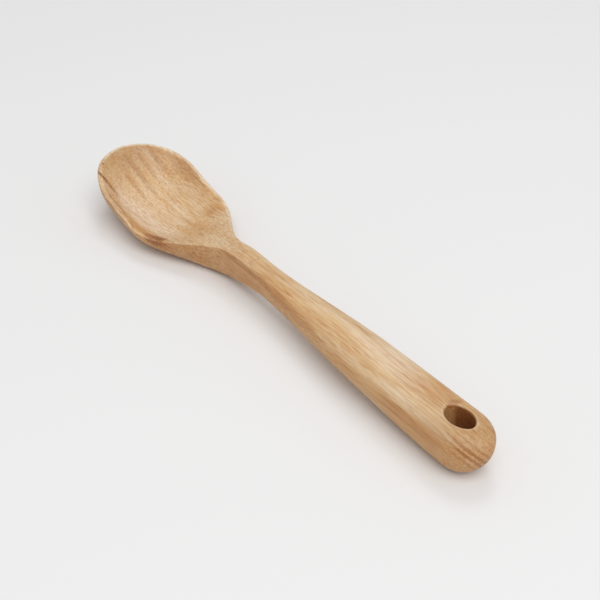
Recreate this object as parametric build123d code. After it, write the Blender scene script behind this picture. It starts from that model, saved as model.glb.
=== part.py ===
from build123d import *
import math
import os

os.makedirs("parts", exist_ok=True)

# Cooking spoon carved from one piece of beech, all sizes in millimetres.
# It lies on the back of its bowl and the end of its handle, with the bowl open upwards.
# +X runs from the tip of the bowl to the butt of the handle, and +Z is up.
# The origin is on the table, under the middle of the spoon's length.
# Places on the bowl and the neck are measured from the tip, places on the handle from the butt.

# Whole spoon
length = 305.0
end_flat = 0.1                # each end stops this far inside its point, as a small flat
rest_flat = 0.3               # sanded off the underside, so that it rests without rocking

# Outline seen from above
bowl_width = 58.4
bowl_round = 34.6             # from the tip, the rounded front of the bowl
shoulder_start = 59.5         # from the tip, where the bowl starts to narrow
shoulder_end = 119.5          # from the tip, where it has become the neck
neck_width = 12.0
neck_end = 140.0              # from the tip, where the handle starts to widen
grip_width = 26.0
grip_start = 73.0             # from the butt, where the handle is at full width
butt_round = 16.0             # from the butt, the rounded end

# Top line seen from the side, which is the rim of the bowl and the top of the handle
rim_high = 31.4
rim_high_ahead = 10.0         # the rim would level out this far ahead of the tip
rim_low = 13.7
rim_low_place = 73.7          # from the tip
neck_height = 24.3
neck_height_place = 132.0     # from the tip
grip_height = 25.4
grip_height_place = 95.0      # from the butt
butt_height = 25.7

# Underside seen from the side
front_round = 37.0            # from the tip, the rounded underside of the bowl's front
arch_start = 93.0             # from the tip, where the underside leaves the table
arch_rise_end = 158.0         # from the tip
arch_height = 8.3
arch_fall_start = 106.0       # from the butt
arch_end = 22.0               # from the butt, where the handle touches the table

# Cross-section: four quarter curves between the widest line, the crown and the keel
rim_drop = 0.4                # how far the widest line lies below the crown in the bowl
grip_drop = 8.5               # and in the handle
square_end = 123.0            # from the tip, where the neck's square top edge starts to soften
soft_start = 93.0             # from the butt, where it is fully soft
neck_corner_share = 0.85
line_share = 1 / 3            # handles at thirds make a quarter curve straight, as on the rim
deck_start = 95.0             # from the tip, where the crisp edge of the rim starts to round
deck_end = 135.0              # from the tip
grip_corner_share = 0.72
bowl_side_share = 0.56
neck_side_share = 0.78
grip_side_share = 0.63
side_fill_start = 60.0        # from the tip, where the bowl's round side starts to square up
side_fill_end = 120.0         # from the tip
side_thin_start = 155.0       # from the butt, where the neck's side starts to round again
side_thin_end = 65.0          # from the butt

# Hollow of the bowl
lip_width = 2.5               # flat lip between the outline and the hollow
floor_thickness = 5.5         # wood under the deepest place
floor_place = 50.0            # from the tip
front_radius = 29.5           # across the hollow at the tip
front_radius_end = 35.0       # from the tip
hollow_radius = 33.9          # across the bowl
flatten_start = 42.0          # from the tip
flatten_end = 93.0            # from the tip
run_out_radius = 85.0         # across the run-out towards the neck
run_out_end = 138.0           # from the tip
run_out_rise = 0.5            # the cutter leaves the wood this far above the neck
overrun = 6.0                 # how far cutters pass the wood

# Hanging hole
hole_length = 15.4
hole_width = 10.7
hole_place = 17.5             # from the butt to the middle of the hole
hole_ease = 0.9               # bevel round the hole

# Stations of the lofts, as shares of the rounded front, the body between and the rounded end
front_shares = (0.0, 0.02, 0.08, 0.22, 0.45, 0.72)
body_steps = 16
end_shares = (0.72, 0.45, 0.22, 0.08, 0.02, 0.0)
hollow_steps = 16


def ease(start, end, at):
    """Smooth step from 0 at start to 1 at end, level at both."""
    step = min(max((at - start) / (end - start), 0), 1)
    return step * step * (3 - 2 * step)


def between(first, last, start, end, at):
    """Value that eases from first to last between two places."""
    return first + (last - first) * ease(start, end, at)


def closing(run, left):
    """Share of full size at a distance left from a rounded end: a quarter of an ellipse."""
    step = min(max(1 - (left + end_flat) / run, 0), 1)
    return math.sqrt(1 - step * step)


def half_width(x):
    if x < neck_end:
        width = between(bowl_width, neck_width, shoulder_start, shoulder_end, x)
    else:
        width = between(neck_width, grip_width, neck_end, length - grip_start, x)
    return width / 2 * closing(bowl_round, x) * closing(butt_round, length - x)


def top_line(x):
    if x < rim_low_place:
        return between(rim_high, rim_low, -rim_high_ahead, rim_low_place, x)
    if x < neck_height_place:
        return between(rim_low, neck_height, rim_low_place, neck_height_place, x)
    crown = between(neck_height, grip_height, neck_height_place, length - grip_height_place, x)
    return crown + between(0, butt_height - grip_height, length - grip_height_place, length, x)


def under_line(x):
    if x < arch_start:
        return top_line(0) * (1 - closing(front_round, x))
    if x < length - arch_fall_start:
        return between(0, arch_height, arch_start, arch_rise_end, x)
    return between(arch_height, 0, length - arch_fall_start, length - arch_end, x)


def section(x):
    """Closed outline of the blank at a distance x from the tip."""
    half = half_width(x)
    wide = top_line(x) - between(rim_drop, grip_drop, square_end, length - soft_start, x)
    end = closing(butt_round, length - x)
    crown = wide + (top_line(x) - wide) * end
    keel = wide + (under_line(x) - wide) * end
    crisp = between(1, 0, deck_start, deck_end, x)
    corner = between(neck_corner_share, grip_corner_share, square_end, length - soft_start, x)
    corner += (line_share - corner) * crisp
    lean = line_share * crisp
    side = between(bowl_side_share, neck_side_share, side_fill_start, side_fill_end, x)
    side += between(0, grip_side_share - neck_side_share,
                    length - side_thin_start, length - side_thin_end, x)
    upper = wide + corner * (crown - wide)
    shoulder = crown - lean * (crown - wide)
    lower = wide + side * (keel - wide)
    edges = []
    for sign in (1, -1):
        rim = (x, sign * half, wide)
        edges.append(Edge.make_bezier(
            rim, (x, sign * half * (1 - lean), upper),
            (x, sign * half * corner, shoulder), (x, 0, crown)))
        edges.append(Edge.make_bezier(
            rim, (x, sign * half, lower), (x, sign * half * side, keel), (x, 0, keel)))
    return Wire(edges)


def hollow_floor(x):
    """Lowest line of the hollow: down from the lip to the deepest place, then out at the neck."""
    if x < floor_place:
        lip_height = top_line(lip_width)
        step = (floor_place - x) / (floor_place - lip_width)
        return floor_thickness + (lip_height - floor_thickness) * step * step
    run_out_height = neck_height + run_out_rise
    return between(floor_thickness, run_out_height, floor_place, run_out_end, x)


def hollow_section(x):
    """Arc of the hollow with a flat lid well above the rim."""
    lid = rim_high + overrun
    radius = between(front_radius, hollow_radius, 0, front_radius_end, x)
    radius += between(0, run_out_radius - hollow_radius, flatten_start, flatten_end, x)
    low = hollow_floor(x)
    deep = lid - low
    half = math.sqrt(2 * radius * deep - deep * deep)
    arc = Edge.make_three_point_arc((x, -half, lid), (x, 0, low), (x, half, lid))
    return Wire([arc, Edge.make_line((x, half, lid), (x, -half, lid))])


# Blank, lofted through its cross-sections and laid flat on the table
stations = [share * bowl_round for share in front_shares]
body_run = length - bowl_round - butt_round
stations += [bowl_round + body_run * step / body_steps for step in range(body_steps + 1)]
stations += [length - share * butt_round for share in end_shares]
blank = Solid.make_loft([section(x) for x in stations])
table = Pos(length / 2, 0, rest_flat - overrun / 2) * Box(length + overrun, bowl_width + overrun, overrun)
blank = blank - table

# Hollow, which fades out between the shoulders onto the neck
hollow_run = run_out_end / hollow_steps
hollow = Solid.make_loft([hollow_section(step * hollow_run) for step in range(hollow_steps + 1)])
spoon = blank - hollow

# Hanging hole through the flat of the handle, with eased edges
hole_x = length - hole_place
oval = Ellipse(hole_length / 2, hole_width / 2)
hole = Pos(hole_x, 0, -overrun) * extrude(oval, butt_height + 2 * overrun)
spoon = spoon - hole
wall = spoon.faces().filter_by(GeomType.EXTRUSION)[0]
rims = wall.edges().filter_by(GeomType.LINE, reverse=True)
spoon = chamfer(rims, hole_ease)

spoon = Pos(-length / 2, 0, -rest_flat) * spoon
spoon.label = "spoon"
spoon.color = Color(0.80, 0.63, 0.42)

export_step(spoon, "parts/spoon.step")
box = spoon.bounding_box()
print("hole rims", len(rims), [round(edge.length, 2) for edge in rims])
print("spoon", type(spoon).__name__, "solids", len(spoon.solids()), "valid", spoon.is_valid)
print("volume", round(spoon.volume), "mm3, box", box.min, box.max)
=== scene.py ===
# %% [markdown]
# A wooden cooking spoon, carved from one piece of beech and oiled. The whole object is
# one smooth surface with one material, so nearly everything that the eye enjoys comes from
# two things: the shape of the carving, and the way the carving cuts through the layers of
# the wood. The shape is worked out here from a few real sizes, as the carver would mark
# them on the blank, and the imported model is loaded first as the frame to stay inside.

# %% Load the frame
import math

import bpy
import bmesh
import numpy as np
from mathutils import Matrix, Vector


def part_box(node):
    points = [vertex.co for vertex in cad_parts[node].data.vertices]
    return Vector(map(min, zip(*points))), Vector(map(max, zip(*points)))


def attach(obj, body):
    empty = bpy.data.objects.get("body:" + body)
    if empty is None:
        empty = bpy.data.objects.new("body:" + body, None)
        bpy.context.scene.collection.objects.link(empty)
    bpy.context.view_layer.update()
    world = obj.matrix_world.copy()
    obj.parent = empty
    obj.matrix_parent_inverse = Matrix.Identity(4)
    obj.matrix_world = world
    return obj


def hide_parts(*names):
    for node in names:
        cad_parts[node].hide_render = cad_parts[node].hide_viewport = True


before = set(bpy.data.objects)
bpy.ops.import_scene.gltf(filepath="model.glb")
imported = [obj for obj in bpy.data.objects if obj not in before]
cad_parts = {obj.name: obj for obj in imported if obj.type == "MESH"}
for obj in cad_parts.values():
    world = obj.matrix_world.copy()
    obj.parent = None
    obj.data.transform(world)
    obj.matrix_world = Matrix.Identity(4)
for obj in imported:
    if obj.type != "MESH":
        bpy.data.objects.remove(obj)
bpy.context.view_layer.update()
spoon_low, spoon_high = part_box("spoon")
MM = 0.001
print("frame from", tuple(spoon_low), "to", tuple(spoon_high))

# %% [markdown]
# The sizes are in millimetres. Along the spoon, x runs from 0 at the tip of the bowl to
# the full length at the butt of the handle. Across it, y is 0 on the middle line. The
# bowl and neck are measured from the tip, and the handle from the butt. They are the
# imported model's own sizes, but for the corners of the neck and grip, the ridges and the
# edges, which wear has made a little rounder.

# %% Sizes of the spoon
LENGTH = (spoon_high.x - spoon_low.x) / MM
REST_FLAT = 0.3

BOWL_WIDTH = 58.4
BOWL_ROUND = 34.6
SHOULDER = (59.5, 119.5)
NECK_WIDTH = 12.0
NECK_END = 140.0
GRIP_WIDTH = 26.0
GRIP_START = LENGTH - 73.0
BUTT_ROUND = 16.0

RIM_HIGH, RIM_HIGH_AHEAD = 31.4, 10.0
RIM_LOW, RIM_LOW_PLACE = 13.7, 73.7
NECK_HEIGHT, NECK_HEIGHT_PLACE = 24.3, 132.0
GRIP_HEIGHT, GRIP_HEIGHT_PLACE = 25.4, LENGTH - 95.0
BUTT_HEIGHT = 25.7

FRONT_ROUND = 37.0
ARCH_RISE = (93.0, 158.0)
ARCH_FALL = (LENGTH - 106.0, LENGTH - 22.0)
ARCH_HEIGHT = 8.3

RIM_DROP, GRIP_DROP = 0.4, 8.5
SOFTENING = (104.0, LENGTH - 93.0)
DECK = (92.0, 122.0)
NECK_CORNER, GRIP_CORNER = 0.63, 0.64
BOWL_SIDE, NECK_SIDE, GRIP_SIDE = 0.56, 0.78, 0.63
SIDE_FILL = (60.0, 120.0)
SIDE_THIN = (LENGTH - 155.0, LENGTH - 65.0)

LIP_WIDTH = 2.5
FLOOR_THICKNESS, FLOOR_PLACE = 5.5, 50.0
FRONT_RADIUS, FRONT_RADIUS_END = 29.5, 35.0
HOLLOW_RADIUS = 33.9
FLATTEN = (42.0, 93.0)
RUN_OUT_RADIUS, RUN_OUT_END, RUN_OUT_RISE = 85.0, 138.0, 0.5

HOLE_LENGTH, HOLE_WIDTH = 15.4, 10.7
HOLE_PLACE = LENGTH - 17.5
HOLE_EDGE = 1.3
LIP_EDGE = 0.4
RIDGE_EDGE, RIDGE_FADE = 3.5, (86.0, 110.0)
print("spoon", round(LENGTH, 1), "mm long")

# %% [markdown]
# A hand-shaped object has no straight runs and no sudden corners along its length. Each
# line of it is built from smooth steps: a value that eases from one size to the next and
# is level at both ends. The rounded ends close like a quarter of an ellipse. All helpers
# take whole arrays, so one call shapes thousands of points.


# %% Lines along the spoon
TINY = 1e-9


def ease(start, end, at):
    """0 before start, 1 after end, and three times the square less twice the cube between."""
    step = np.clip((at - start) / (end - start), 0.0, 1.0)
    return step * step * (3.0 - 2.0 * step)


def between(first, last, start, end, at):
    """Goes from first to last with the smooth step between start and end."""
    return first + (last - first) * ease(start, end, at)


def closing(run, left):
    """Quarter of an ellipse: 0 at the end of the wood, 1 once the run is behind it."""
    step = np.clip(1.0 - left / run, 0.0, 1.0)
    return np.sqrt(1.0 - step * step)


def half_width(x):
    """Half the outline's width: bowl, then neck, then grip, closed at both ends."""
    bowl = between(BOWL_WIDTH, NECK_WIDTH, *SHOULDER, x)
    grip = between(NECK_WIDTH, GRIP_WIDTH, NECK_END, GRIP_START, x)
    width = np.where(x < NECK_END, bowl, grip)
    return width / 2.0 * closing(BOWL_ROUND, x) * closing(BUTT_ROUND, LENGTH - x)


def top_line(x):
    """Height of the rim and of the crown of the handle, seen from the side."""
    rim = between(RIM_HIGH, RIM_LOW, -RIM_HIGH_AHEAD, RIM_LOW_PLACE, x)
    climb = between(RIM_LOW, NECK_HEIGHT, RIM_LOW_PLACE, NECK_HEIGHT_PLACE, x)
    crown = between(NECK_HEIGHT, GRIP_HEIGHT, NECK_HEIGHT_PLACE, GRIP_HEIGHT_PLACE, x)
    crown = crown + between(0.0, BUTT_HEIGHT - GRIP_HEIGHT, GRIP_HEIGHT_PLACE, LENGTH, x)
    return np.where(x < RIM_LOW_PLACE, rim, np.where(x < NECK_HEIGHT_PLACE, climb, crown))


def under_line(x):
    """Height of the keel: round front, flat under the bowl, an arch, and down at the butt."""
    front = top_line(np.zeros(1)) * (1.0 - closing(FRONT_ROUND, x))
    rise = between(0.0, ARCH_HEIGHT, *ARCH_RISE, x)
    fall = between(ARCH_HEIGHT, 0.0, *ARCH_FALL, x)
    return np.where(x < ARCH_RISE[0], front, np.where(x < ARCH_FALL[0], rise, fall))


x_probe = np.array([20.0, 50.0, 100.0, 152.0, 250.0])
print("half widths", np.round(half_width(x_probe), 1), "tops", np.round(top_line(x_probe), 1))

# %% [markdown]
# Cut across, the spoon is four quarter curves that meet at the widest line, the crown and
# the keel. Each is a cubic curve with two handles. Handles reaching well into the corner
# make it full and round, as on the handle, and handles at a third of the way make it
# straight, as on the crisp lip of the bowl. The surface is wanted as a height over each
# point of the plan, so the curve is solved for its height by halving an interval.


# %% Cross-sections
HALVINGS = 40
STRAIGHT = 1.0 / 3.0


def quarter(across, corner, lean):
    """Height, 0 at the rim to 1 at the crown, where the quarter curve is this far across."""
    low, high = np.zeros_like(across), np.ones_like(across)
    for _ in range(HALVINGS):
        t = (low + high) / 2.0
        s = 1.0 - t
        reach = s**3 + 3.0 * s * s * t * (1.0 - lean) + 3.0 * s * t * t * corner
        inside = reach > across
        low, high = np.where(inside, t, low), np.where(inside, high, t)
    return 3.0 * s * s * t * corner + 3.0 * s * t * t * (1.0 - lean) + t**3


def crispness(x):
    """1 along the bowl's lip, fading to 0 on the rounded neck and handle."""
    return between(1.0, 0.0, *DECK, x)


def widest_line(x):
    """Height at which the section is widest, a little lower where the lip's edge is worn."""
    drop = between(RIM_DROP, GRIP_DROP, *SOFTENING, x)
    return top_line(x) - drop - LIP_EDGE * crispness(x)


half_way = np.array([0.5])
print("rise half way across: lip", round(float(quarter(half_way, STRAIGHT, STRAIGHT)[0]), 2),
      "grip", round(float(quarter(half_way, GRIP_CORNER, 0.0)[0]), 2))

# %% [markdown]
# The hollow of the bowl is a trough with a round section. Its floor drops steeply behind
# the lip, is deepest a third of the way along the bowl and a half, and then climbs until
# it runs out on top of the neck. There the trough is wider than the wood, so it breaks
# through both shoulders and leaves a ridge on each side, crisp at the shoulder.


# %% Hollow of the bowl
LEAST_HALF_WIDTH = 0.01


def hollow_radius(x):
    """Radius of the trough's round section, which grows twice on the way to the neck."""
    radius = between(FRONT_RADIUS, HOLLOW_RADIUS, 0.0, FRONT_RADIUS_END, x)
    return radius + between(0.0, RUN_OUT_RADIUS - HOLLOW_RADIUS, *FLATTEN, x)


def hollow_height(x, y):
    """Floor line plus the rise of a circle across it, and out of reach past the run-out."""
    lip_height = top_line(np.full(1, LIP_WIDTH))
    step = (FLOOR_PLACE - x) / (FLOOR_PLACE - LIP_WIDTH)
    front = FLOOR_THICKNESS + (lip_height - FLOOR_THICKNESS) * step * step
    back = between(FLOOR_THICKNESS, NECK_HEIGHT + RUN_OUT_RISE, FLOOR_PLACE, RUN_OUT_END, x)
    floor = np.where(x < FLOOR_PLACE, front, back)
    radius = hollow_radius(x)
    rise = radius - np.sqrt(np.maximum(radius * radius - y * y, 0.0))
    return np.where(x < RUN_OUT_END, floor + rise, np.inf)


def lip_share(x):
    """Share of the half width at which the hollow meets the lip."""
    top = top_line(x)
    floor = hollow_height(x, np.zeros_like(x))
    radius = hollow_radius(x)
    deep = np.clip(top - np.where(np.isfinite(floor), floor, top), 0.0, None)
    chord = np.sqrt(np.maximum(2.0 * radius * deep - deep * deep, 0.0))
    return chord / np.maximum(half_width(x), LEAST_HALF_WIDTH)


def softer_of(first, second, blend):
    """The lower of two heights, with the corner between them rounded over the blend."""
    near = np.maximum(blend - np.abs(first - second), 0.0) / blend
    return np.minimum(first, second) - near * near * blend / 4.0


print("wood under the bowl", FLOOR_THICKNESS - REST_FLAT, "mm")

# %% [markdown]
# Two functions give the whole spoon: the height of its top and the height of its
# underside over any point of the plan. The top is the lower of the blank's crown and the
# hollow, and a worn edge of 0.4 mm rounds the lip, as sanding does. Past the shoulders
# the hand slides over the ridges, so there the rounding grows to 3.5 mm and they fade out.


# %% Top and underside
def from_outline(x, y, half):
    """Distance to the outline in the plan, from the slope of the tip's ellipse."""
    ahead = np.maximum(BOWL_ROUND - x, 0.0) / BOWL_ROUND
    aside = y / (BOWL_WIDTH / 2.0)
    reach = np.sqrt(ahead**2 + aside**2) + TINY
    slope = np.sqrt((ahead / BOWL_ROUND) ** 2 + (aside / (BOWL_WIDTH / 2.0)) ** 2) / reach
    return np.where(x < BOWL_ROUND, (1.0 - reach) / (slope + TINY), half - np.abs(y))


def worn_edge(x, y, half):
    """Drop of a quarter circle within the worn edge's reach of the outline."""
    into = np.clip(1.0 - from_outline(x, y, half) / LIP_EDGE, 0.0, 1.0)
    return LIP_EDGE * (1.0 - np.sqrt(1.0 - into * into))


def cut_by_hollow(height, x, y):
    """The lower of this height and the hollow; their ridge is rounded past the shoulders."""
    ridge = between(LIP_EDGE, RIDGE_EDGE, *RIDGE_FADE, x)
    return softer_of(height, hollow_height(x, y), ridge)


def top_height(x, y):
    """Crown curve over the widest line, lowered by the worn edge and cut by the hollow."""
    half = half_width(x)
    across = np.clip(np.abs(y) / np.maximum(half, TINY), 0.0, 1.0)
    crisp = crispness(x)
    corner = between(NECK_CORNER, GRIP_CORNER, *SOFTENING, x)
    corner = corner + (STRAIGHT - corner) * crisp
    wide = widest_line(x)
    rise = (top_line(x) - wide) * closing(BUTT_ROUND, LENGTH - x) - LIP_EDGE * crisp
    rise = rise * closing(LIP_EDGE, x)
    crown = wide + LIP_EDGE * crisp + rise * quarter(across, corner, crisp / 3.0)
    crown = crown - worn_edge(x, y, half) * crisp
    return cut_by_hollow(crown, x, y) - REST_FLAT


def under_height(x, y):
    """Keel curve from the edge of the top down, with the lowest wood sanded flat."""
    half = half_width(x)
    across = np.clip(np.abs(y) / np.maximum(half, TINY), 0.0, 1.0)
    side = between(BOWL_SIDE, NECK_SIDE, *SIDE_FILL, x)
    side = side + between(0.0, GRIP_SIDE - NECK_SIDE, *SIDE_THIN, x)
    wide = cut_by_hollow(widest_line(x), x, half)
    fall = (wide - np.minimum(under_line(x), wide)) * closing(BUTT_ROUND, LENGTH - x)
    lower = wide - fall * quarter(across, side, np.zeros_like(x))
    return np.maximum(lower, REST_FLAT) - REST_FLAT


y_probe = np.zeros_like(x_probe)
thickness = top_height(x_probe, y_probe) - under_height(x_probe, y_probe)
print("thickness on the middle line", np.round(thickness, 1))

# %% [markdown]
# The surface is laid out as two grids. The first runs from the tip to just short of the
# hanging hole, with rows across the spoon. Its columns crowd towards the rim, where the
# wood turns down, and one column follows the edge between lip and hollow. Without that
# column the edge would wander between two columns and look like the teeth of a saw.

# %% Body grid
HALF_COLUMNS = 48
FRONT_ROWS, BODY_ROWS = 96, 270
HOLE_MARGIN = 8.0
LIP_COLUMN = 0.75
LIP_LEAST, LIP_MOST = 0.8, 0.998
LIP_COLUMN_FADE = (95.0, 118.0)
BODY_END = HOLE_PLACE - HOLE_LENGTH / 2.0 - HOLE_MARGIN


def column_shares(x):
    """Places across as the sine of even angles, moved so that one of them is on the lip."""
    even = np.linspace(0.0, 1.0, HALF_COLUMNS + 1)[None, :]
    lip = np.arcsin(np.clip(lip_share(x), LIP_LEAST, LIP_MOST)) / (math.pi / 2.0)
    lip = between(1.0, 0.0, *LIP_COLUMN_FADE, x) * (lip - LIP_COLUMN) + LIP_COLUMN
    inner = even / LIP_COLUMN * lip[:, None]
    outer = 1.0 - (1.0 - even) / (1.0 - LIP_COLUMN) * (1.0 - lip[:, None])
    angle = np.where(even < LIP_COLUMN, inner, outer) * math.pi / 2.0
    half = np.sin(angle)
    return np.concatenate([-half[:, :0:-1], half], axis=1)


front = BOWL_ROUND * (1.0 - np.cos(np.linspace(0.0, math.pi / 2.0, FRONT_ROWS)))
rows = np.concatenate([front, np.linspace(BOWL_ROUND, BODY_END, BODY_ROWS)[1:]])
shares = column_shares(rows)
body_x = np.repeat(rows[:, None], shares.shape[1], axis=1)
body_y = shares * half_width(rows)[:, None]
body_top = np.stack([body_x, body_y, top_height(body_x, body_y)], axis=-1)
body_under = np.stack([body_x, body_y, under_height(body_x, body_y)], axis=-1)
print("body grid", body_x.shape, "rows and columns on each side")

# %% [markdown]
# The second grid goes round the hanging hole like the spokes of a wheel, out over the top
# to the outline, back under to the hole and up through its wall. So the hole is part of the
# surface itself. Its edge is rounded a little, as a turn of sandpaper would leave it.

# %% Grid round the hanging hole
OUTLINE_STEPS = 110
EDGE_STEPS, SPAN_STEPS, WALL_STEPS = 7, 30, 10

turn = np.linspace(0.0, math.pi, OUTLINE_STEPS + 1)[1:-1]
side_x = BODY_END + (LENGTH - BODY_END) * np.sin(turn)
side_y = half_width(side_x) * np.sign(np.cos(turn))
rim_x = np.concatenate([np.full(shares.shape[1], BODY_END), side_x])
rim_y = np.concatenate([body_y[-1], side_y])
bearing = np.arctan2(rim_y, rim_x - HOLE_PLACE)
hole_radius = 1.0 / np.hypot(np.cos(bearing) / (HOLE_LENGTH / 2.0),
                             np.sin(bearing) / (HOLE_WIDTH / 2.0))
hole_x = HOLE_PLACE + hole_radius * np.cos(bearing)
hole_y = hole_radius * np.sin(bearing)

reach = np.hypot(rim_x - hole_x, rim_y - hole_y)
roll = np.linspace(0.0, math.pi / 2.0, EDGE_STEPS)
edge_out = HOLE_EDGE * (1.0 - np.cos(roll))[:, None] * np.ones_like(reach)
span = np.sin(np.linspace(0.0, math.pi / 2.0, SPAN_STEPS + 1)[1:])[:, None]
out = np.concatenate([edge_out, HOLE_EDGE + (reach - HOLE_EDGE) * span])
ring_x = hole_x + (rim_x - hole_x) * out / reach
ring_y = hole_y + (rim_y - hole_y) * out / reach
into = np.clip(1.0 - out / HOLE_EDGE, 0.0, 1.0)
edge_drop = HOLE_EDGE * (1.0 - np.sqrt(1.0 - into * into))
ring_top = np.stack([ring_x, ring_y, top_height(ring_x, ring_y) - edge_drop], axis=-1)
ring_under = np.stack([ring_x, ring_y, under_height(ring_x, ring_y) + edge_drop], axis=-1)
down = np.linspace(0.0, 1.0, WALL_STEPS + 1)[:, None, None]
hole_wall = ring_top[0] * (1.0 - down) + ring_under[0] * down
print("grid round the hole", ring_x.shape)

# %% [markdown]
# The grids are five sheets: top and underside of the body, top and underside round the
# hole, and the hole's wall. Each is turned into quads with whole arrays of corner numbers,
# and the sheets are put together as one list of points and one of quads.


# %% Sheets of quads
def sheet_quads(shape, start, closed, flip):
    """Corner numbers of a grid's quads, joined end to end across when it is closed."""
    number = start + np.arange(shape[0] * shape[1]).reshape(shape)
    if closed:
        number = np.concatenate([number, number[:, :1]], axis=1)
    a, b, c, d = number[:-1, :-1], number[1:, :-1], number[1:, 1:], number[:-1, 1:]
    corners = (a, d, c, b) if flip else (a, b, c, d)
    return np.stack(corners, axis=-1).reshape(-1, 4)


def join_sheets(sheets):
    """All points in metres about the middle of the length, and the quads of all sheets."""
    points, quads, start = [], [], 0
    for sheet, closed, flip in sheets:
        quads.append(sheet_quads(sheet.shape[:2], start, closed, flip))
        points.append(sheet.reshape(-1, 3))
        start += sheet.shape[0] * sheet.shape[1]
    points = np.concatenate(points)
    points[:, 0] -= LENGTH / 2.0
    return points * MM, np.concatenate(quads)


points, quads = join_sheets([
    (body_top, False, False),
    (body_under, False, True),
    (ring_top, True, True),
    (ring_under, True, False),
    (hole_wall, True, False),
])
print("five sheets with", len(points), "points and", len(quads), "quads")

# %% [markdown]
# The sheets only lie edge to edge so far. Points that meet at the rim, the tip, the butt
# and the hole are merged within a hundredth of a millimetre, which closes the surface. The
# mesh is then turned outwards and shaded smooth.

# %% One closed mesh
WELD = 0.01 * MM


def make_piece(name, points, quads, weld):
    """A mesh object at the origin with near points merged and faces turned outwards."""
    mesh = bpy.data.meshes.new(name)
    mesh.from_pydata(points.tolist(), [], quads.tolist())
    work = bmesh.new()
    work.from_mesh(mesh)
    bmesh.ops.remove_doubles(work, verts=work.verts, dist=weld)
    bmesh.ops.dissolve_degenerate(work, edges=work.edges, dist=weld)
    bmesh.ops.recalc_face_normals(work, faces=work.faces)
    print(name, len(work.verts), "points,", len(work.faces), "faces, open edges",
          sum(1 for edge in work.edges if not edge.is_manifold))
    work.to_mesh(mesh)
    work.free()
    mesh.polygons.foreach_set("use_smooth", np.ones(len(mesh.polygons), bool))
    piece = bpy.data.objects.new(name, mesh)
    bpy.context.scene.collection.objects.link(piece)
    return piece


spoon = make_piece("beech_spoon", points, quads, WELD)
triangles = sum(len(face.vertices) - 2 for face in spoon.data.polygons)
print("triangles", triangles)

# %% [markdown]
# The growth layers of a tree are shells round its pith. Where the spoon sat in the log
# decides how its surface cuts them, so the pith is placed first, as a line far below the
# spoon and to its side. It isn't quite in line with the spoon, so one angle gives its side
# at the bowl and another at the butt.

# %% Pith of the tree
BOWL_PLACE, BUTT_PLACE = -120.0, 145.0
PITH_DISTANCE = 130.0
PITH_ANGLE_BOWL, PITH_ANGLE_BUTT = math.radians(9.2), math.radians(37.2)


def pith_line(angle_bowl, angle_butt):
    """Side and height of the pith as a start and a slope along the spoon, in millimetres."""
    run = BUTT_PLACE - BOWL_PLACE
    lines = []
    for part in (math.cos, math.sin):
        first, last = -PITH_DISTANCE * part(angle_bowl), -PITH_DISTANCE * part(angle_butt)
        slope = (last - first) / run
        lines.append((first - slope * BOWL_PLACE, slope))
    return lines


(pith_y, pith_y_slope), (pith_z, pith_z_slope) = pith_line(PITH_ANGLE_BOWL, PITH_ANGLE_BUTT)
print("pith", round(pith_y), round(pith_z), "mm to the side and up at the middle")

# %% [markdown]
# The finish differs from place to place, and the mesh carries shares from 0 to 1 that say
# where. Near the two ends the wood drinks oil along its open fibres and goes darker. The
# sides of the spoon, told by how little their normal points up, get painted shade, with
# some of the redder tan of the side grain.

# %% Ends and sides
TIP_SOAK, BUTT_SOAK = 26.0, 50.0
WALL_UPWARD, TOP_UPWARD = 0.2, 0.9
SOAK_LOST_ON_SIDES = 0.75


def store_share(mesh, name, values):
    """Keeps one number from 0 to 1 at each point of the mesh, for the material to read."""
    share = mesh.attributes.new(name, "FLOAT", "POINT")
    share.data.foreach_set("value", np.clip(values, 0.0, 1.0).astype(np.float32))


def read_vectors(items, field):
    """All three-number values of a mesh collection as one array."""
    flat = np.empty(len(items) * 3, np.float32)
    items.foreach_get(field, flat)
    return flat.reshape(-1, 3).astype(float)


place = read_vectors(spoon.data.vertices, "co") / MM
upward = read_vectors(spoon.data.vertex_normals, "vector")[:, 2]
from_tip = place[:, 0] + LENGTH / 2.0
from_butt = LENGTH / 2.0 - place[:, 0]
soaked = np.maximum(1.0 - ease(0.0, TIP_SOAK, from_tip), 1.0 - ease(0.0, BUTT_SOAK, from_butt))
# Painted shade: the less the normal points up, the darker and redder the colour.
side_tone_and_shade = 1.0 - ease(WALL_UPWARD, TOP_UPWARD, upward)
store_share(spoon.data, "soaked", soaked * (1.0 - SOAK_LOST_ON_SIDES * side_tone_and_shade))
store_share(spoon.data, "side_tone_and_shade", side_tone_and_shade)
print("soaked on average", round(float(soaked.mean()), 2))

# %% [markdown]
# Two more shares are for small places. The bored hole is dark from oil and from painted
# shade, but for the upper wall at its two ends, which is painted lighter as if lit. The far
# rim, the tip and the edge of the hole get a painted highlight. The distance from the middle
# of the hole is counted so that 1 is its wall.

# %% Hole and painted edge highlights
DRILLED_REACH = (1.0, 1.12)
# Where the painted light on the upper end walls of the hole reaches.
LIT_ENDS, LIT_HEIGHT, MOST_LIT = (4.8, 7.2), (4.0, 18.0), 0.9
# Where the painted highlights lie on the rim and round the hole.
HIGHLIGHT_WIDTH, HIGHLIGHT_UPWARD = (1.4, 2.6), 0.3
HIGHLIGHT_LENGTH, HIGHLIGHT_SIDE = (70.0, 105.0), (-24.0, -6.0)
HOLE_HIGHLIGHT_FROM, HOLE_HIGHLIGHT_TO, HOLE_HIGHLIGHT = (1.02, 1.08), (1.1, 1.25), 0.3

from_hole = np.hypot((from_tip - HOLE_PLACE) / (HOLE_LENGTH / 2.0),
                     place[:, 1] / (HOLE_WIDTH / 2.0))
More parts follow.
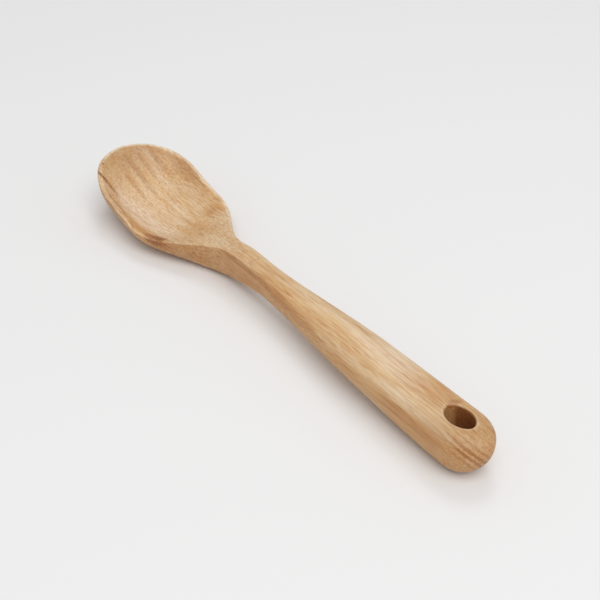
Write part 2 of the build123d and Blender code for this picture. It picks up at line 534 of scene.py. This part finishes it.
# Painted light: the upper wall at the hole's two ends is kept lighter, as if lit.
lit_end = ease(*LIT_ENDS, np.abs(from_tip - HOLE_PLACE))
painted_light = MOST_LIT * ease(*LIT_HEIGHT, place[:, 2]) * lit_end
store_share(spoon.data, "hole_soak_and_shade", (1.0 - ease(*DRILLED_REACH, from_hole)) * (1.0 - painted_light))

into_wood = from_outline(from_tip, place[:, 1], half_width(from_tip))
lip = 1.0 - ease(*HIGHLIGHT_WIDTH, into_wood)
far_lip = lip * (1.0 - ease(*HIGHLIGHT_LENGTH, from_tip)) * ease(*HIGHLIGHT_SIDE, place[:, 1])
# Painted highlight along the upward-facing far rim and the tip.
lip_highlight = far_lip * (upward > HIGHLIGHT_UPWARD)
# Painted highlight round the rounded edge of the hole.
hole_rim = ease(*HOLE_HIGHLIGHT_FROM, from_hole) * (1.0 - ease(*HOLE_HIGHLIGHT_TO, from_hole))
store_share(spoon.data, "painted_edge_highlight", np.maximum(lip_highlight, HOLE_HIGHLIGHT * hole_rim))
print("rubbed pale at", int(np.count_nonzero(lip_highlight)), "points of the lip")

# %% [markdown]
# Beech is a pale, even wood that turns a warm tan when it is oiled. What makes it beech
# rather than any other wood is fine: the darker line at the end of each year's growth,
# drawn out along the spoon, the short brown flecks of its rays, a thread-like fibre, and
# broad soft changes between honey and pale pink. All are patterns in the solid wood, made
# from Object coordinates in millimetres, and the carved surface cuts through them.


# %% Colour and node helpers
def linear(hex_colour):
    """sRGB hex to linear red, green and blue, with alpha 1."""
    channels = [int(hex_colour[i:i + 2], 16) / 255.0 for i in (1, 3, 5)]
    return [c / 12.92 if c <= 0.04045 else ((c + 0.055) / 1.055) ** 2.4
            for c in channels] + [1.0]


def add_node(material, kind, links=None, values=None, **settings):
    """Adds a node, sets its properties and input values, and links its inputs."""
    node = material.node_tree.nodes.new(kind)
    for key, value in settings.items():
        setattr(node, key, value)
    for socket, value in (values or {}).items():
        node.inputs[socket].default_value = value
    for socket, output in (links or {}).items():
        material.node_tree.links.new(output, node.inputs[socket])
    return node


def new_material(name):
    """An empty material with its output node."""
    material = bpy.data.materials.new(name)
    material.use_nodes = True
    material.node_tree.nodes.clear()
    return material, add_node(material, "ShaderNodeOutputMaterial")


print("middle grey in linear light", round(linear("#808080")[0], 3))

# %% [markdown]
# Every pattern below is laid out in millimetres. The wood's own directions are the fibre,
# along the spoon, the way across the growth layers, and the way along a layer. One turn
# about the fibre lines the patterns up with them. The sizes of each pattern are named for
# its three directions. Where noise is stretched to a range, sockets 1 and 2 are the ends
# of what is read, and 3 and 4 the ends of what is given.

# %% Place in the wood
# European beech, carved, sanded with fine paper and oiled: a pale warm tan with fine
# brown flecks, a thin film that evens the sheen, and no lacquer gloss.
beech, beech_out = new_material("oiled_beech")
object_place = add_node(beech, "ShaderNodeTexCoord").outputs["Object"]
place_mm = add_node(beech, "ShaderNodeVectorMath", {0: object_place}, {"Scale": 1.0 / MM},
                    operation="SCALE").outputs[0]
LAYER_TURN = math.radians(25.0)
grain_place = add_node(beech, "ShaderNodeMapping", {"Vector": place_mm},
                       {"Rotation": (-LAYER_TURN, 0.0, 0.0)}).outputs[0]


def grain_noise(lengths, **values):
    """Soft noise whose patches have these lengths along the fibre, across and in a layer."""
    scale = add_node(beech, "ShaderNodeMapping", {"Vector": grain_place},
                     {"Scale": tuple(1.0 / length for length in lengths)})
    names = {key.capitalize(): value for key, value in values.items()}
    return add_node(beech, "ShaderNodeTexNoise", {"Vector": scale.outputs[0]},
                    {"Scale": 1.0, **names}).outputs["Fac"]


print("grain turned", round(math.degrees(LAYER_TURN)), "degrees about the fibre")

# %% [markdown]
# A growth layer is a shell round the pith, so its number is the distance to the pith over
# the width of a year. The fraction of that number gives the place within the year: pale
# early wood for most of it, then a darker line that stops at once. Years differ, so each
# has its own random strength, and a slow wobble keeps the lines from being perfect.

# %% Growth layers
YEAR_WIDTH = 2.3
WOBBLE, WOBBLE_SIZE = 2.4, (110.0, 16.0, 16.0)
LATE_WOOD = ((0.0, 0.7), (0.12, 0.0), (0.6, 0.12), (0.86, 1.0), (1.0, 1.0))

along = add_node(beech, "ShaderNodeSeparateXYZ", {0: place_mm}).outputs["X"]
pith_side = add_node(beech, "ShaderNodeMath", {0: along}, {1: pith_y_slope, 2: pith_y},
                     operation="MULTIPLY_ADD").outputs[0]
pith_height = add_node(beech, "ShaderNodeMath", {0: along}, {1: pith_z_slope, 2: pith_z},
                       operation="MULTIPLY_ADD").outputs[0]
pith = add_node(beech, "ShaderNodeCombineXYZ", {0: along, 1: pith_side, 2: pith_height})
from_pith = add_node(beech, "ShaderNodeVectorMath", {0: place_mm, 1: pith.outputs[0]},
                     operation="DISTANCE").outputs["Value"]
layer = add_node(beech, "ShaderNodeMath", {0: from_pith}, {1: PITH_DISTANCE},
                 operation="SUBTRACT").outputs[0]
wobble = grain_noise(WOBBLE_SIZE, detail=2.0)
layer_wavy = add_node(beech, "ShaderNodeMath", {0: wobble, 2: layer}, {1: WOBBLE},
                      operation="MULTIPLY_ADD").outputs[0]
year = add_node(beech, "ShaderNodeMath", {0: layer_wavy}, {1: YEAR_WIDTH},
                operation="DIVIDE").outputs[0]
year_number = add_node(beech, "ShaderNodeMath", {0: year}, operation="FLOOR").outputs[0]
year_share = add_node(beech, "ShaderNodeMath", {0: year}, operation="FRACT").outputs[0]
year_strength = add_node(beech, "ShaderNodeTexWhiteNoise", {"W": year_number},
                         noise_dimensions="1D").outputs["Value"]
late_wood = add_node(beech, "ShaderNodeValToRGB", {0: year_share})
for stop, _ in LATE_WOOD[1:-1]:
    late_wood.color_ramp.elements.new(stop)
for element, (_, shade) in zip(late_wood.color_ramp.elements, LATE_WOOD):
    element.color = (shade, shade, shade, 1.0)
year_line = add_node(beech, "ShaderNodeMath", {0: late_wood.outputs[0], 1: year_strength},
                     operation="MULTIPLY").outputs[0]
print("years", YEAR_WIDTH, "mm apart")

# %% [markdown]
# The ground colour drifts between honey, tan and a pale pinkish tan over a few
# centimetres. The stored shares then paint shade on the sides and darken the ends. Each
# change multiplies the colour below it, as a thin glaze would.

# %% Ground colour
HONEY, TAN, PALE = linear("#dfbc8a"), linear("#e2c7a0"), linear("#e6d1b2")
# Tint of the painted side shade, with the redder side-grain tone.
SIDE_SHADE_TINT = linear("#ecd7be")
SOAK_GLAZE = linear("#e0cfba")
# Pale colour of the painted edge highlight.
EDGE_HIGHLIGHT = linear("#edddc4")
DRIFT_SIZE = (50.0, 6.0, 9.0)
DRIFT_COLOURS = ((0.3, HONEY), (0.5, TAN), (0.68, PALE))

drift = grain_noise(DRIFT_SIZE, detail=3.0, roughness=0.5)
ground = add_node(beech, "ShaderNodeValToRGB", {0: drift})
ground.color_ramp.elements.new(DRIFT_COLOURS[1][0])
for element, (stop, tone) in zip(ground.color_ramp.elements, DRIFT_COLOURS):
    element.position, element.color = stop, tone


def glaze(below, tint, amount, strength=1.0):
    """Multiplies the colour below by this tint, as far as the amount times the strength."""
    if strength != 1.0:
        amount = add_node(beech, "ShaderNodeMath", {0: amount}, {1: strength},
                          operation="MULTIPLY").outputs[0]
    return add_node(beech, "ShaderNodeMix", {6: below, 0: amount}, {7: tint},
                    data_type="RGBA", blend_type="MULTIPLY").outputs[2]


def stored_share(name):
    """The share of this name that the mesh carries."""
    return add_node(beech, "ShaderNodeAttribute", attribute_name=name).outputs["Fac"]


# Painted shade on the sides, with a redder side-grain tone.
colour = glaze(ground.outputs[0], SIDE_SHADE_TINT, stored_share("side_tone_and_shade"))
colour = glaze(colour, SOAK_GLAZE, stored_share("soaked"))
# Painted highlight: the edge share lightens the colour.
colour = add_node(beech, "ShaderNodeMix", {0: stored_share("painted_edge_highlight"), 6: colour},
                  {7: EDGE_HIGHLIGHT}, data_type="RGBA", blend_type="LIGHTEN").outputs[2]
print("glazes for the sides and the ends")

# %% [markdown]
# No two pieces of beech are alike, so the marks of this one are listed one by one. Each is an
# ellipsoid with a soft edge, and a noise drawn out along the fibre makes the edge ragged.
# Some are placed in space, and some by their place along the spoon and their height in the
# growth layers, so that they follow the layers as a real streak does.

# %% Soft marks
RAGGED_SIZE, RAGGED_RANGE = (9.0, 1.2, 1.2), {1: 0.2, 2: 0.8, 3: -0.35, 4: 0.35}
MARK_RANGE = {1: 1.0, 2: 0.35}

ragged = add_node(beech, "ShaderNodeMapRange", {0: grain_noise(RAGGED_SIZE, detail=2.0)},
                  RAGGED_RANGE).outputs[0]
layer_place = add_node(beech, "ShaderNodeCombineXYZ", {0: along, 1: layer}).outputs[0]


def soft_mark(space, centre, size):
    """1 in the middle of an ellipsoid, falling smoothly to 0 at its ragged edge."""
    own = add_node(beech, "ShaderNodeMapping", {"Vector": space},
                   {"Location": centre, "Scale": size}, vector_type="TEXTURE")
    out_from = add_node(beech, "ShaderNodeVectorMath", {0: own.outputs[0]},
                        operation="LENGTH").outputs["Value"]
    out_from = add_node(beech, "ShaderNodeMath", {0: out_from, 1: ragged},
                        operation="ADD").outputs[0]
    return add_node(beech, "ShaderNodeMapRange", {0: out_from}, MARK_RANGE,
                    interpolation_type="SMOOTHSTEP").outputs[0]


print("ragged edges broken every", RAGGED_SIZE[1], "mm across the fibre")

# %% [markdown]
# The photographed piece has a dark growth line that crosses the tip of the bowl, with paler
# wood above it and orange below, a brown patch of end grain where the near shoulder begins,
# deepened with painted shade, smears at the tip and stripes at the butt. A few marks are
# painted shade, as noted at each. Each row below gives a tint, the middle of the mark, its
# half sizes in millimetres and its strength. The first two lists are glazes, and the last
# one lightens the wood.

# %% Marks of this piece
DARK, BROWN, AMBER = linear("#9b7254"), linear("#c39668"), linear("#e8c99c")
ROSE, BLUSH = linear("#e6d5c4"), linear("#ecd8c0")

LAYER_MARKS = [
    (DARK, (-141.0, -14.5, 0.0), (20.0, 0.8, 1.0), 0.75),
    (BROWN, (-119.0, -14.5, 0.0), (28.0, 1.9, 1.0), 0.65),
    (AMBER, (-104.0, -19.5, 0.0), (46.0, 5.5, 1.0), 0.15),
    (BROWN, (-135.0, 20.5, 0.0), (16.0, 2.2, 1.0), 0.3),
    (BROWN, (-136.0, 13.0, 0.0), (14.0, 1.6, 1.0), 0.25),
    (BROWN, (-134.0, 6.0, 0.0), (18.0, 2.4, 1.0), 0.35),
    (BROWN, (-130.0, -1.0, 0.0), (18.0, 1.8, 1.0), 0.3),
    (BROWN, (152.0, 10.3, 0.0), (14.0, 0.9, 1.0), 0.4),
    (BROWN, (150.0, 7.6, 0.0), (14.0, 1.0, 1.0), 0.6),
    (BROWN, (150.0, 5.2, 0.0), (14.0, 1.0, 1.0), 0.6),
    (BROWN, (152.0, 2.6, 0.0), (14.0, 0.9, 1.0), 0.4),
    (BROWN, (67.0, 14.5, 0.0), (14.0, 1.0, 1.0), 0.3),
]
SPACE_MARKS = [
    # Near shoulder patch: darker end grain, deepened with painted shade where the wall faces
    # away from the light.
    (BROWN, (-77.5, -22.0, 12.4), (11.0, 6.5, 5.5), 0.75),
    (DARK, (-77.0, -21.5, 12.4), (6.5, 5.0, 3.2), 0.4),
    (BROWN, (-55.0, -15.0, 9.0), (46.0, 11.0, 10.0), 0.22),
    (AMBER, (-90.0, -23.5, 14.0), (17.0, 5.0, 6.0), 0.65),
    (AMBER, (-66.0, -21.0, 13.0), (18.0, 6.0, 7.0), 0.5),
    (AMBER, (-24.0, -7.5, 13.0), (34.0, 5.0, 9.0), 0.4),
    (AMBER, (-27.0, -5.0, 22.5), (20.0, 3.6, 4.0), 0.4),
    # Far shoulder patch: warmer end grain, deepened with painted shade where the wall faces
    # away from the light.
    (AMBER, (-87.0, 19.5, 10.5), (11.0, 7.0, 7.0), 0.6),
    (BROWN, (-87.0, 19.0, 10.5), (4.5, 3.0, 3.0), 0.3),
    (AMBER, (-75.0, 5.0, 10.0), (22.0, 16.0, 9.0), 0.45),
    (AMBER, (-96.0, 25.0, 14.0), (18.0, 8.0, 8.0), 0.35),
    (AMBER, (115.0, 2.0, 24.0), (17.0, 11.0, 8.0), 0.6),
    # Painted shade along the near rim, where its edge turns away from the light.
    (BROWN, (-108.0, -26.5, 18.5), (30.0, 3.6, 8.0), 0.4),
    (ROSE, (-125.0, 25.0, 20.0), (26.0, 7.0, 10.0), 0.8),
    (AMBER, (-146.0, 7.0, 28.0), (8.0, 6.0, 6.0), 0.15),
    (DARK, (-142.7, -17.7, 28.2), (1.3, 1.0, 1.0), 0.8),
    (AMBER, (-8.0, 0.0, 22.0), (42.0, 9.0, 8.0), 0.35),
    (AMBER, (40.0, -7.5, 21.0), (74.0, 5.5, 6.5), 0.7),
    (BROWN, (-4.0, -2.5, 23.5), (17.0, 2.6, 3.0), 0.12),
    # Painted shade on the hole's rounded edge on the bowl's side, where it turns away from the
    # light.
    (BROWN, (127.5, 4.2, 25.0), (2.6, 6.5, 2.5), 0.5),
]
for space, marks in ((layer_place, LAYER_MARKS), (place_mm, SPACE_MARKS)):
    for tone, centre, size, strength in marks:
        colour = glaze(colour, tone, soft_mark(space, centre, size), strength)
PALE_MARKS = [
    (layer_place, (-104.0, -9.8, 0.0), (36.0, 6.0, 1.0), 0.8),
    (place_mm, (-110.0, -17.5, 14.0), (28.0, 6.0, 9.0), 0.85),
    (place_mm, (90.0, 1.0, 25.0), (32.0, 10.0, 8.0), 0.45),
]
for space, centre, size, strength in PALE_MARKS:
    pale = add_node(beech, "ShaderNodeMath", {0: soft_mark(space, centre, size)},
                    {1: strength}, operation="MULTIPLY").outputs[0]
    colour = add_node(beech, "ShaderNodeMix", {0: pale, 6: colour}, {7: BLUSH},
                      data_type="RGBA", blend_type="LIGHTEN").outputs[2]
print(len(LAYER_MARKS) + len(SPACE_MARKS) + len(PALE_MARKS), "marks of this piece")

# %% [markdown]
# The year lines come next. On this piece they are faint and broken for most of the length
# and only clear near the butt, where the surface crosses the layers most steeply. A noise
# drawn out along the fibre breaks them up.

# %% Year lines
YEAR_GLAZE = linear("#c9986a")
YEAR_FAINT, YEAR_CLEAR = 0.3, 0.5
CLEAR_RANGE = {1: 125.0, 2: 148.0, 3: YEAR_FAINT, 4: YEAR_CLEAR}
BREAK_SIZE, BREAK_RANGE = (22.0, 2.5, 2.5), {1: 0.4, 2: 0.62}

broken = add_node(beech, "ShaderNodeMapRange", {0: grain_noise(BREAK_SIZE, detail=2.0)},
                  BREAK_RANGE).outputs[0]
towards_butt = add_node(beech, "ShaderNodeMapRange", {0: along}, CLEAR_RANGE).outputs[0]
year_seen = year_line
for share in (broken, towards_butt):
    year_seen = add_node(beech, "ShaderNodeMath", {0: year_seen, 1: share},
                         operation="MULTIPLY").outputs[0]
colour = glaze(colour, YEAR_GLAZE, year_seen)
print("year lines from", YEAR_FAINT, "to", YEAR_CLEAR)

# %% [markdown]
# Fibre is far finer than a pixel of the photograph, which is about half a millimetre, so
# it is drawn as streaks half a millimetre wide, gathered in places into brown bundles. Rays
# are thin upright ribbons of cells. Cut along a layer they show as short pinkish brown
# dashes, two or three millimetres long, plain on the floor of the bowl and faint behind it.

# %% Fibre and rays
FIBRE_GLAZE = linear("#d9b78c")
BUNDLE_GLAZE = linear("#cb9a62")
RAY_GLAZE = linear("#cfa27c")
FIBRE_STRENGTH, BUNDLE_STRENGTH = 0.85, 0.42
FIBRE_SIZE, FIBRE_RANGE = (20.0, 0.45, 0.85), {1: 0.42, 2: 0.75}
GATHER_SIZE, GATHER_RANGE = (30.0, 6.0, 6.0), {1: 0.52, 2: 0.7}
BUNDLE_SIZE, BUNDLE_RANGE = (24.0, 0.8, 2.4), {1: 0.46, 2: 0.66}
RAY_SIZE, RAY_RANGE = (5.5, 0.45, 0.9), {1: 0.56, 2: 0.7}
RAY_FADE = {1: -45.0, 2: -5.0, 3: 0.45, 4: 0.25}

fibre = grain_noise(FIBRE_SIZE, detail=3.0, roughness=0.65)
fibre_dark = add_node(beech, "ShaderNodeMapRange", {0: fibre}, FIBRE_RANGE).outputs[0]
colour = glaze(colour, FIBRE_GLAZE, fibre_dark, FIBRE_STRENGTH)
gathered = add_node(beech, "ShaderNodeMapRange", {0: grain_noise(GATHER_SIZE, detail=1.0)},
                    GATHER_RANGE).outputs[0]
bundle = add_node(beech, "ShaderNodeMapRange", {0: grain_noise(BUNDLE_SIZE, detail=2.0)},
                  BUNDLE_RANGE).outputs[0]
bundle = add_node(beech, "ShaderNodeMath", {0: bundle, 1: gathered},
                  operation="MULTIPLY").outputs[0]
colour = glaze(colour, BUNDLE_GLAZE, bundle, BUNDLE_STRENGTH)
rays = grain_noise(RAY_SIZE, detail=0.0)
ray_dark = add_node(beech, "ShaderNodeMapRange", {0: rays}, RAY_RANGE).outputs[0]
ray_fade = add_node(beech, "ShaderNodeMapRange", {0: along}, RAY_FADE).outputs[0]
ray_seen = add_node(beech, "ShaderNodeMath", {0: ray_dark, 1: ray_fade},
                    operation="MULTIPLY").outputs[0]
colour = glaze(colour, RAY_GLAZE, ray_seen)
print("fibre and rays drawn at half a millimetre")

# %% [markdown]
# The hanging hole was bored, soaked with oil and never sanded, so it is dark, and painted
# shade makes it darker still; the upper wall at its two ends is painted lighter, as if lit.
# Oiled wood has a soft sheen, between matt and satin, and its fibres can just be felt, a
# tenth of a millimetre deep at most.

# %% Hole, sheen and feel
HOLE_SOAK_AND_SHADE = linear("#bf9e85")
SHEEN_ROUGHNESS, WOOD_IOR = 0.52, 1.45
FEEL_STRENGTH, FEEL_DEPTH = 0.35, 0.1 * MM

# Darkens the hole: oil soak with painted shade, lighter at the painted upper end walls.
colour = glaze(colour, HOLE_SOAK_AND_SHADE, stored_share("hole_soak_and_shade"))
feel = add_node(beech, "ShaderNodeBump", {"Height": fibre},
                {"Strength": FEEL_STRENGTH, "Distance": FEEL_DEPTH})
wood = add_node(beech, "ShaderNodeBsdfPrincipled",
                {"Base Color": colour, "Normal": feel.outputs[0]},
                {"Roughness": SHEEN_ROUGHNESS, "IOR": WOOD_IOR})
beech.node_tree.links.new(wood.outputs[0], beech_out.inputs["Surface"])
spoon.data.materials.append(beech)
print("nodes in the beech", len(beech.node_tree.nodes))

# %% [markdown]
# The photograph is a plain studio shot, taken over the end of the handle with a rather
# long lens, so that the spoon shrinks only a little towards the bowl. The camera's place
# and lens were found by laying the outline of the spoon over the one in the photograph.

# %% Camera
CAMERA_PLACE = Vector((0.36796, -0.2538, 0.3230))
CAMERA_TARGET = Vector((-0.00024, 0.0174, -0.0007))
FOCAL_PIXELS, PICTURE_PIXELS = 1084.0, 600.0
SENSOR_WIDTH = 36.0
NEAREST = 0.01

camera_data = bpy.data.cameras.new("photo_camera")
camera_data.sensor_width = SENSOR_WIDTH
camera_data.lens = FOCAL_PIXELS / PICTURE_PIXELS * SENSOR_WIDTH
camera_data.clip_start = NEAREST
camera = bpy.data.objects.new("photo_camera", camera_data)
camera.location = CAMERA_PLACE
camera.rotation_euler = (CAMERA_TARGET - CAMERA_PLACE).to_track_quat("-Z", "Y").to_euler()
bpy.context.scene.collection.objects.link(camera)
bpy.context.scene.camera = camera
print("camera", round((CAMERA_TARGET - CAMERA_PLACE).length, 3), "m away")

# %% [markdown]
# The spoon lies on a sheet of matt paper. It runs far past the edges of the picture, so it
# is floor and background in one, and it keeps the soft shadow that shows where the spoon
# touches and where its arch stands clear. The pale grey of the paper alone sets how bright
# the background is.

# %% Floor
FLOOR_REACH = 3.0
floor_mesh = bpy.data.meshes.new("studio_floor")
corners = [(-FLOOR_REACH, -FLOOR_REACH, 0), (FLOOR_REACH, -FLOOR_REACH, 0),
           (FLOOR_REACH, FLOOR_REACH, 0), (-FLOOR_REACH, FLOOR_REACH, 0)]
floor_mesh.from_pydata(corners, [], [(0, 1, 2, 3)])
floor = bpy.data.objects.new("studio_floor", floor_mesh)
bpy.context.scene.collection.objects.link(floor)
# Uncoated paper: light scatters evenly in its fibres, so it has no sheen at all.
paper, paper_out = new_material("matt_white_paper")
paper_face = add_node(paper, "ShaderNodeBsdfDiffuse", None, {"Color": linear("#ededed")})
paper.node_tree.links.new(paper_face.outputs[0], paper_out.inputs["Surface"])
floor_mesh.materials.append(paper)
print("floor", 2.0 * FLOOR_REACH, "m wide")

# %% [markdown]
# Three things light the spoon. Pale walls all round fill every shadow and are drawn as a
# plain white world. A large soft box stands in front and above, and gives the near side of
# the spoon its form. A smaller and weaker one stands behind the bowl, and throws the narrow
# band of shadow that lies in front of the neck. Together they are just bright enough that a
# colour renders about as it is written.

# %% Light
# Each box has its place and its width in metres, and its watts.
ROOM_STRENGTH = 0.48
FRONT_BOX = ((1.1, -0.4, 1.9), 1.7, 27.5)
BACK_BOX = ((-0.66, 0.66, 1.77), 0.7, 5.5)

scene = bpy.context.scene
scene.view_settings.view_transform = "Standard"
world = bpy.data.worlds.new("studio_room")
world.use_nodes = True
room = world.node_tree.nodes["Background"]
room.inputs["Color"].default_value = linear("#ffffff")
room.inputs["Strength"].default_value = ROOM_STRENGTH
scene.world = world


def soft_box(name, at, size, watts):
    """A square area lamp, size metres wide, that looks at the middle of the spoon."""
    data = bpy.data.lights.new(name, "AREA")
    data.size = size
    data.energy = watts
    lamp = bpy.data.objects.new(name, data)
    lamp.location = at
    lamp.rotation_euler = (-Vector(at)).to_track_quat("-Z", "Y").to_euler()
    scene.collection.objects.link(lamp)
    print(name, watts, "W, seen from", round(Vector(at).length, 2), "m")


soft_box("front_box", *FRONT_BOX)
soft_box("back_box", *BACK_BOX)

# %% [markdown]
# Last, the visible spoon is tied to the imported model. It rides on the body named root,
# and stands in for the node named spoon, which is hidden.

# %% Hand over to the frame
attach(spoon, "root")
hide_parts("spoon")
